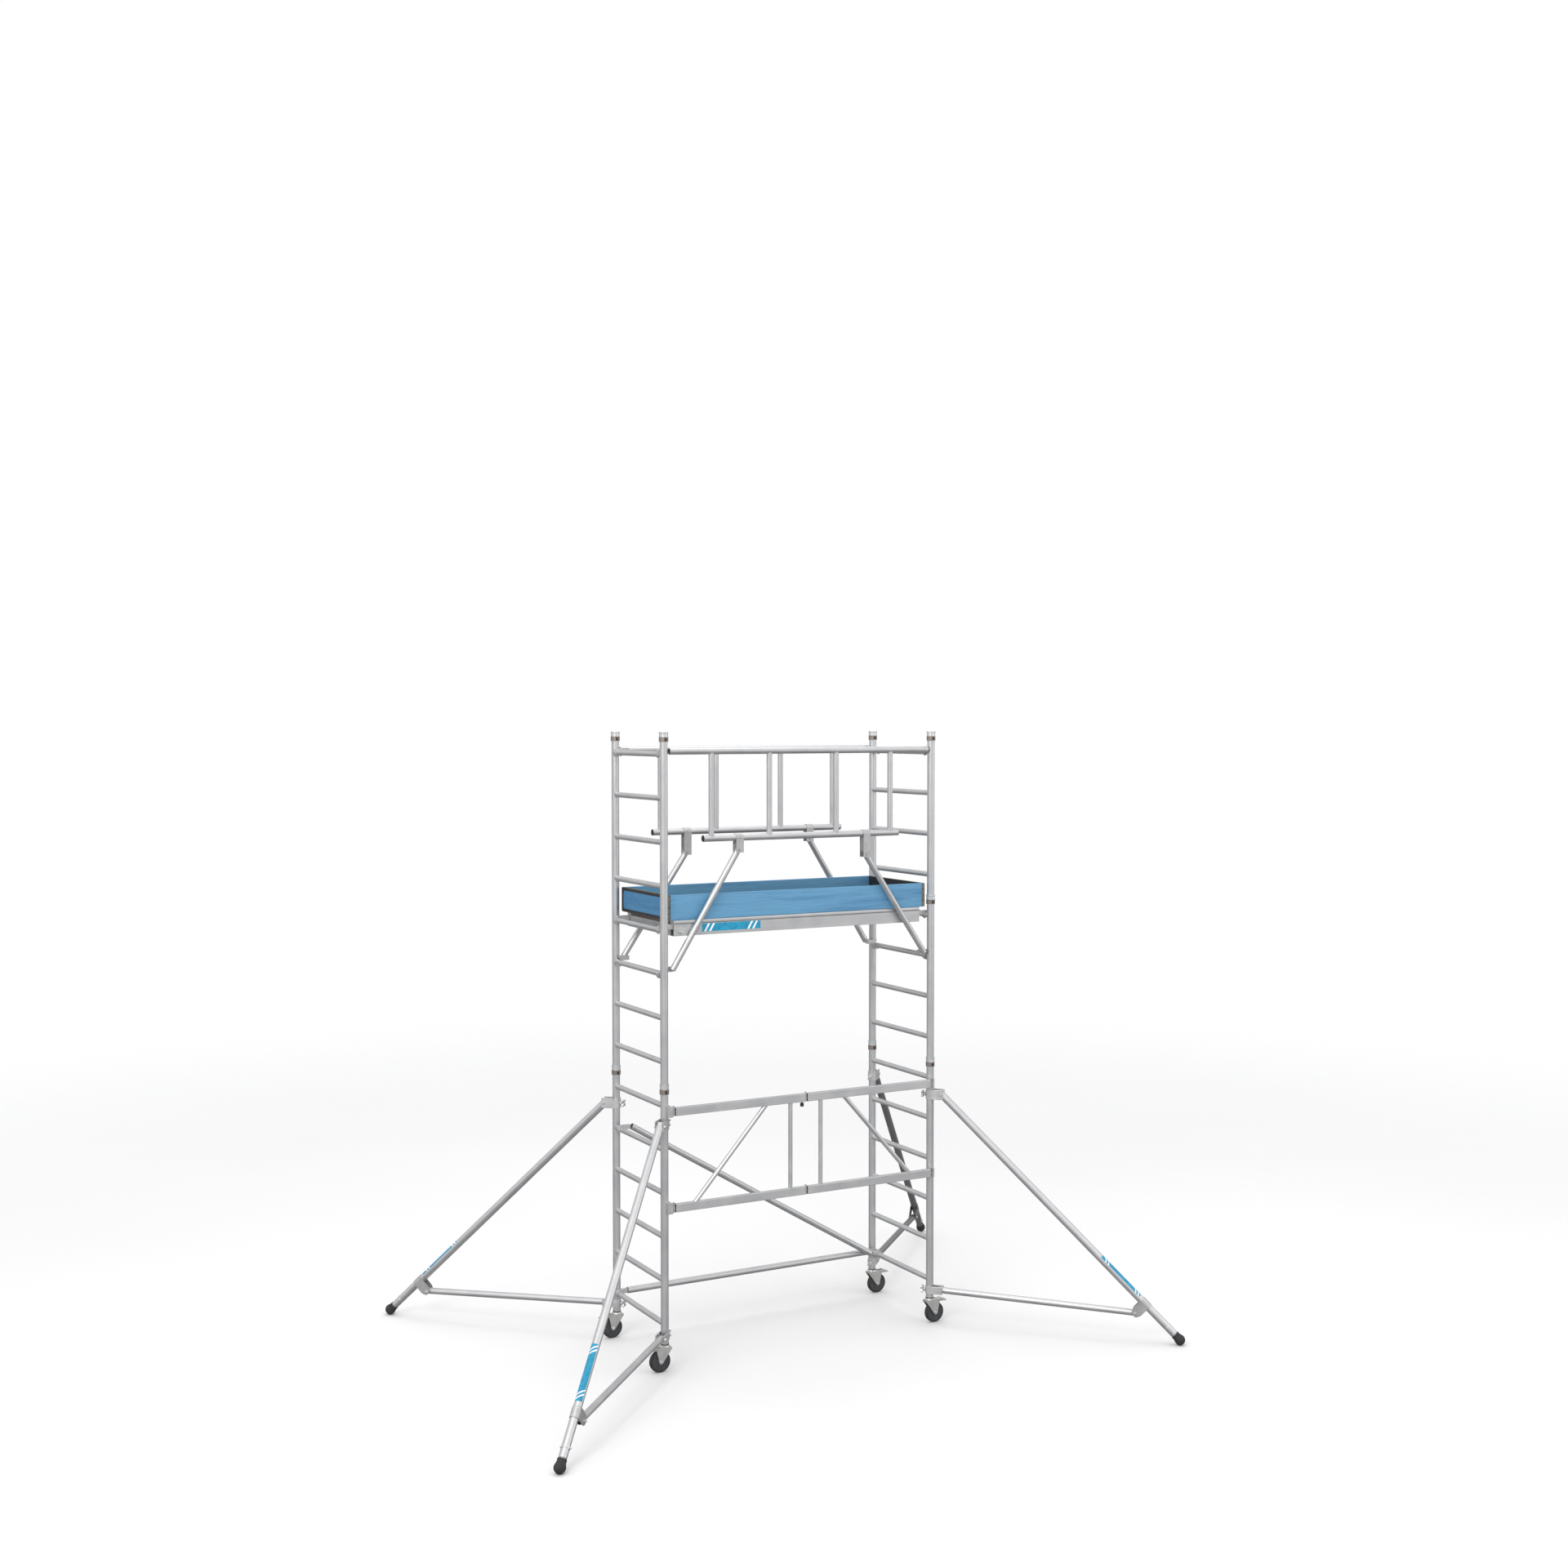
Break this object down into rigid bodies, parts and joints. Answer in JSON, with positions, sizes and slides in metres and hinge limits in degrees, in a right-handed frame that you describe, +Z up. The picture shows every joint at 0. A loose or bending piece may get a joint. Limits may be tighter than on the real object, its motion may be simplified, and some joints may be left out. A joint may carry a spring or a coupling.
{
  "type": "mobile scaffold tower",
  "caption": "Mobile aluminium scaffold tower: folding gate base, ladder end frames, guarded platform with trapdoor, outrigger stabilisers and braked swivel casters.",
  "frame": {"origin": "on the floor, at the middle of the four posts", "axes": "+X along the bay to the right, +Y to the back, away from the folding gate, +Z up"},
  "size_m": [4.0066, 2.8866, 3.645],
  "materials": {
    "back_braces": "satin",
    "back_guardrail": "satin",
    "back_left_caster_brake_pedal": "satin",
    "back_left_caster_fork": "satin",
    "back_left_caster_wheel": "matte",
    "back_left_stabiliser_arm": "satin",
    "back_left_stabiliser_foot": "matte",
    "back_left_stabiliser_leg": "satin",
    "back_left_stabiliser_lower_knob": "satin",
    "back_left_stabiliser_upper_knob": "satin",
    "back_right_caster_brake_pedal": "satin",
    "back_right_caster_fork": "satin",
    "back_right_caster_wheel": "matte",
    "back_right_stabiliser_arm": "satin",
    "back_right_stabiliser_foot": "matte",
    "back_right_stabiliser_leg": "satin",
    "back_right_stabiliser_lower_knob": "satin",
    "back_right_stabiliser_upper_knob": "satin",
    "base_left_frame": "satin",
    "base_right_frame": "satin",
    "brace_claws": "satin",
    "caster_stems": "satin",
    "end_toe_boards": "matte",
    "front_guardrail": "satin",
    "front_left_caster_brake_pedal": "satin",
    "front_left_caster_fork": "satin",
    "front_left_caster_wheel": "matte",
    "front_left_stabiliser_arm": "satin",
    "front_left_stabiliser_foot": "matte",
    "front_left_stabiliser_leg": "satin",
    "front_left_stabiliser_lower_knob": "satin",
    "front_left_stabiliser_upper_knob": "satin",
    "front_right_caster_brake_pedal": "satin",
    "front_right_caster_fork": "satin",
    "front_right_caster_wheel": "matte",
    "front_right_stabiliser_arm": "satin",
    "front_right_stabiliser_foot": "matte",
    "front_right_stabiliser_leg": "satin",
    "front_right_stabiliser_lower_knob": "satin",
    "front_right_stabiliser_upper_knob": "satin",
    "gate_hinge_pins": "satin",
    "gate_latch_button": "matte",
    "gate_left_leaf": "satin",
    "gate_post_lugs": "satin",
    "gate_right_leaf": "satin",
    "guardrail_claws": "satin",
    "guardrail_leg_brackets": "satin",
    "guardrail_legs": "satin",
    "interlock_clips": "satin",
    "joint_sockets": "satin",
    "left_upper_frame": "satin",
    "platform_catch": "satin",
    "platform_deck": "matte",
    "platform_frame": "satin",
    "platform_hatch": "matte",
    "platform_hooks": "satin",
    "right_middle_frame": "satin",
    "right_top_frame": "satin",
    "side_toe_boards": "matte",
    "top_sockets": "satin"
  },
  "bodies": {
    "tower": {"back_braces": "back_braces", "back_guardrail": "back_guardrail", "base_left_frame": "base_left_frame", "base_right_frame": "base_right_frame", "brace_claws": "brace_claws", "caster_stems": "caster_stems", "end_toe_boards": "end_toe_boards", "front_guardrail": "front_guardrail", "gate_hinge_pins": "gate_hinge_pins", "gate_left_leaf": "gate_left_leaf", "gate_post_lugs": "gate_post_lugs", "gate_right_leaf": "gate_right_leaf", "guardrail_claws": "guardrail_claws", "guardrail_leg_brackets": "guardrail_leg_brackets", "guardrail_legs": "guardrail_legs", "interlock_clips": "interlock_clips", "joint_sockets": "joint_sockets", "left_upper_frame": "left_upper_frame", "platform_deck": "platform_deck", "platform_frame": "platform_frame", "platform_hooks": "platform_hooks", "right_middle_frame": "right_middle_frame", "right_top_frame": "right_top_frame", "side_toe_boards": "side_toe_boards", "top_sockets": "top_sockets"},
    "front_left_fork": {"front_left_caster_fork": "front_left_caster_fork"},
    "front_left_wheel": {"front_left_caster_wheel": "front_left_caster_wheel"},
    "front_left_pedal": {"front_left_caster_brake_pedal": "front_left_caster_brake_pedal"},
    "front_left_arm": {"front_left_stabiliser_arm": "front_left_stabiliser_arm"},
    "front_left_leg": {"front_left_stabiliser_leg": "front_left_stabiliser_leg", "front_left_stabiliser_foot": "front_left_stabiliser_foot"},
    "front_left_upper_knob": {"front_left_stabiliser_upper_knob": "front_left_stabiliser_upper_knob"},
    "front_left_lower_knob": {"front_left_stabiliser_lower_knob": "front_left_stabiliser_lower_knob"},
    "front_right_fork": {"front_right_caster_fork": "front_right_caster_fork"},
    "front_right_wheel": {"front_right_caster_wheel": "front_right_caster_wheel"},
    "front_right_pedal": {"front_right_caster_brake_pedal": "front_right_caster_brake_pedal"},
    "front_right_arm": {"front_right_stabiliser_arm": "front_right_stabiliser_arm"},
    "front_right_leg": {"front_right_stabiliser_leg": "front_right_stabiliser_leg", "front_right_stabiliser_foot": "front_right_stabiliser_foot"},
    "front_right_upper_knob": {"front_right_stabiliser_upper_knob": "front_right_stabiliser_upper_knob"},
    "front_right_lower_knob": {"front_right_stabiliser_lower_knob": "front_right_stabiliser_lower_knob"},
    "back_left_fork": {"back_left_caster_fork": "back_left_caster_fork"},
    "back_left_wheel": {"back_left_caster_wheel": "back_left_caster_wheel"},
    "back_left_pedal": {"back_left_caster_brake_pedal": "back_left_caster_brake_pedal"},
    "back_left_arm": {"back_left_stabiliser_arm": "back_left_stabiliser_arm"},
    "back_left_leg": {"back_left_stabiliser_leg": "back_left_stabiliser_leg", "back_left_stabiliser_foot": "back_left_stabiliser_foot"},
    "back_left_upper_knob": {"back_left_stabiliser_upper_knob": "back_left_stabiliser_upper_knob"},
    "back_left_lower_knob": {"back_left_stabiliser_lower_knob": "back_left_stabiliser_lower_knob"},
    "back_right_fork": {"back_right_caster_fork": "back_right_caster_fork"},
    "back_right_wheel": {"back_right_caster_wheel": "back_right_caster_wheel"},
    "back_right_pedal": {"back_right_caster_brake_pedal": "back_right_caster_brake_pedal"},
    "back_right_arm": {"back_right_stabiliser_arm": "back_right_stabiliser_arm"},
    "back_right_leg": {"back_right_stabiliser_leg": "back_right_stabiliser_leg", "back_right_stabiliser_foot": "back_right_stabiliser_foot"},
    "back_right_upper_knob": {"back_right_stabiliser_upper_knob": "back_right_stabiliser_upper_knob"},
    "back_right_lower_knob": {"back_right_stabiliser_lower_knob": "back_right_stabiliser_lower_knob"},
    "latch_button": {"gate_latch_button": "gate_latch_button"},
    "hatch": {"platform_hatch": "platform_hatch"},
    "catch": {"platform_catch": "platform_catch"}
  },
  "joints": [
    {"name": "front_left_caster_swivel", "type": "hinge", "parent": "tower", "child": "front_left_fork", "pos_m": [-0.9, -0.34, 0.15], "axis": [0, 0, 1], "continuous": true},
    {"name": "front_left_wheel_spin", "type": "hinge", "parent": "front_left_fork", "child": "front_left_wheel", "pos_m": [-0.932, -0.34, 0.0625], "axis": [0, 1, 0], "continuous": true},
    {"name": "front_left_brake_press", "type": "hinge", "parent": "front_left_fork", "child": "front_left_pedal", "pos_m": [-0.952, -0.34, 0.134], "axis": [0, -1, 0], "range_deg": [0, 16]},
    {"name": "front_left_stabiliser_swing", "type": "hinge", "parent": "tower", "child": "front_left_arm", "pos_m": [-0.9, -0.34, 0.8], "axis": [0, 0, 1], "range_deg": [-45, 45]},
    {"name": "front_left_leg_slide", "type": "slide", "parent": "front_left_arm", "child": "front_left_leg", "axis": [-0.51, -0.51, -0.6927], "range_m": [0, 0.15]},
    {"name": "front_left_upper_knob_turn", "type": "hinge", "parent": "front_left_arm", "child": "front_left_upper_knob", "pos_m": [-0.86464, -0.30464, 1.418], "axis": [0.7071, 0.7071, 0], "continuous": true},
    {"name": "front_left_lower_knob_turn", "type": "hinge", "parent": "front_left_arm", "child": "front_left_lower_knob", "pos_m": [-0.86464, -0.30464, 0.206], "axis": [0.7071, 0.7071, 0], "continuous": true},
    {"name": "front_right_caster_swivel", "type": "hinge", "parent": "tower", "child": "front_right_fork", "pos_m": [0.9, -0.34, 0.15], "axis": [0, 0, 1], "continuous": true},
    {"name": "front_right_wheel_spin", "type": "hinge", "parent": "front_right_fork", "child": "front_right_wheel", "pos_m": [0.932, -0.34, 0.0625], "axis": [0, 1, 0], "continuous": true},
    {"name": "front_right_brake_press", "type": "hinge", "parent": "front_right_fork", "child": "front_right_pedal", "pos_m": [0.952, -0.34, 0.134], "axis": [0, 1, 0], "range_deg": [0, 16]},
    {"name": "front_right_stabiliser_swing", "type": "hinge", "parent": "tower", "child": "front_right_arm", "pos_m": [0.9, -0.34, 0.8], "axis": [0, 0, 1], "range_deg": [-45, 45]},
    {"name": "front_right_leg_slide", "type": "slide", "parent": "front_right_arm", "child": "front_right_leg", "axis": [0.51, -0.51, -0.6927], "range_m": [0, 0.15]},
    {"name": "front_right_upper_knob_turn", "type": "hinge", "parent": "front_right_arm", "child": "front_right_upper_knob", "pos_m": [0.86464, -0.30464, 1.418], "axis": [-0.7071, 0.7071, 0], "continuous": true},
    {"name": "front_right_lower_knob_turn", "type": "hinge", "parent": "front_right_arm", "child": "front_right_lower_knob", "pos_m": [0.86464, -0.30464, 0.206], "axis": [-0.7071, 0.7071, 0], "continuous": true},
    {"name": "back_left_caster_swivel", "type": "hinge", "parent": "tower", "child": "back_left_fork", "pos_m": [-0.9, 0.34, 0.15], "axis": [0, 0, 1], "continuous": true},
    {"name": "back_left_wheel_spin", "type": "hinge", "parent": "back_left_fork", "child": "back_left_wheel", "pos_m": [-0.932, 0.34, 0.0625], "axis": [0, 1, 0], "continuous": true},
    {"name": "back_left_brake_press", "type": "hinge", "parent": "back_left_fork", "child": "back_left_pedal", "pos_m": [-0.952, 0.34, 0.134], "axis": [0, -1, 0], "range_deg": [0, 16]},
    {"name": "back_left_stabiliser_swing", "type": "hinge", "parent": "tower", "child": "back_left_arm", "pos_m": [-0.9, 0.34, 0.8], "axis": [0, 0, 1], "range_deg": [-45, 45]},
    {"name": "back_left_leg_slide", "type": "slide", "parent": "back_left_arm", "child": "back_left_leg", "axis": [-0.51, 0.51, -0.6927], "range_m": [0, 0.15]},
    {"name": "back_left_upper_knob_turn", "type": "hinge", "parent": "back_left_arm", "child": "back_left_upper_knob", "pos_m": [-0.86464, 0.30464, 1.418], "axis": [0.7071, -0.7071, 0], "continuous": true},
    {"name": "back_left_lower_knob_turn", "type": "hinge", "parent": "back_left_arm", "child": "back_left_lower_knob", "pos_m": [-0.86464, 0.30464, 0.206], "axis": [0.7071, -0.7071, 0], "continuous": true},
    {"name": "back_right_caster_swivel", "type": "hinge", "parent": "tower", "child": "back_right_fork", "pos_m": [0.9, 0.34, 0.15], "axis": [0, 0, 1], "continuous": true},
    {"name": "back_right_wheel_spin", "type": "hinge", "parent": "back_right_fork", "child": "back_right_wheel", "pos_m": [0.932, 0.34, 0.0625], "axis": [0, 1, 0], "continuous": true},
    {"name": "back_right_brake_press", "type": "hinge", "parent": "back_right_fork", "child": "back_right_pedal", "pos_m": [0.952, 0.34, 0.134], "axis": [0, 1, 0], "range_deg": [0, 16]},
    {"name": "back_right_stabiliser_swing", "type": "hinge", "parent": "tower", "child": "back_right_arm", "pos_m": [0.9, 0.34, 0.8], "axis": [0, 0, 1], "range_deg": [-45, 45]},
    {"name": "back_right_leg_slide", "type": "slide", "parent": "back_right_arm", "child": "back_right_leg", "axis": [0.51, 0.51, -0.6927], "range_m": [0, 0.15]},
    {"name": "back_right_upper_knob_turn", "type": "hinge", "parent": "back_right_arm", "child": "back_right_upper_knob", "pos_m": [0.86464, 0.30464, 1.418], "axis": [-0.7071, -0.7071, 0], "continuous": true},
    {"name": "back_right_lower_knob_turn", "type": "hinge", "parent": "back_right_arm", "child": "back_right_lower_knob", "pos_m": [0.86464, 0.30464, 0.206], "axis": [-0.7071, -0.7071, 0], "continuous": true},
    {"name": "gate_latch_press", "type": "slide", "parent": "tower", "child": "latch_button", "axis": [0, 0, 1], "range_m": [0, 0.006], "stiffness_N_per_m": 400, "springref_m": -0.0015},
    {"name": "hatch_lift", "type": "hinge", "parent": "tower", "child": "hatch", "pos_m": [0, 0.226, 2.564], "axis": [-1, 0, 0], "range_deg": [0, 90]},
    {"name": "platform_catch_turn", "type": "hinge", "parent": "tower", "child": "catch", "pos_m": [-0.778, -0.325, 2.515], "axis": [0, -1, 0], "range_deg": [0, 90]}
  ]
}
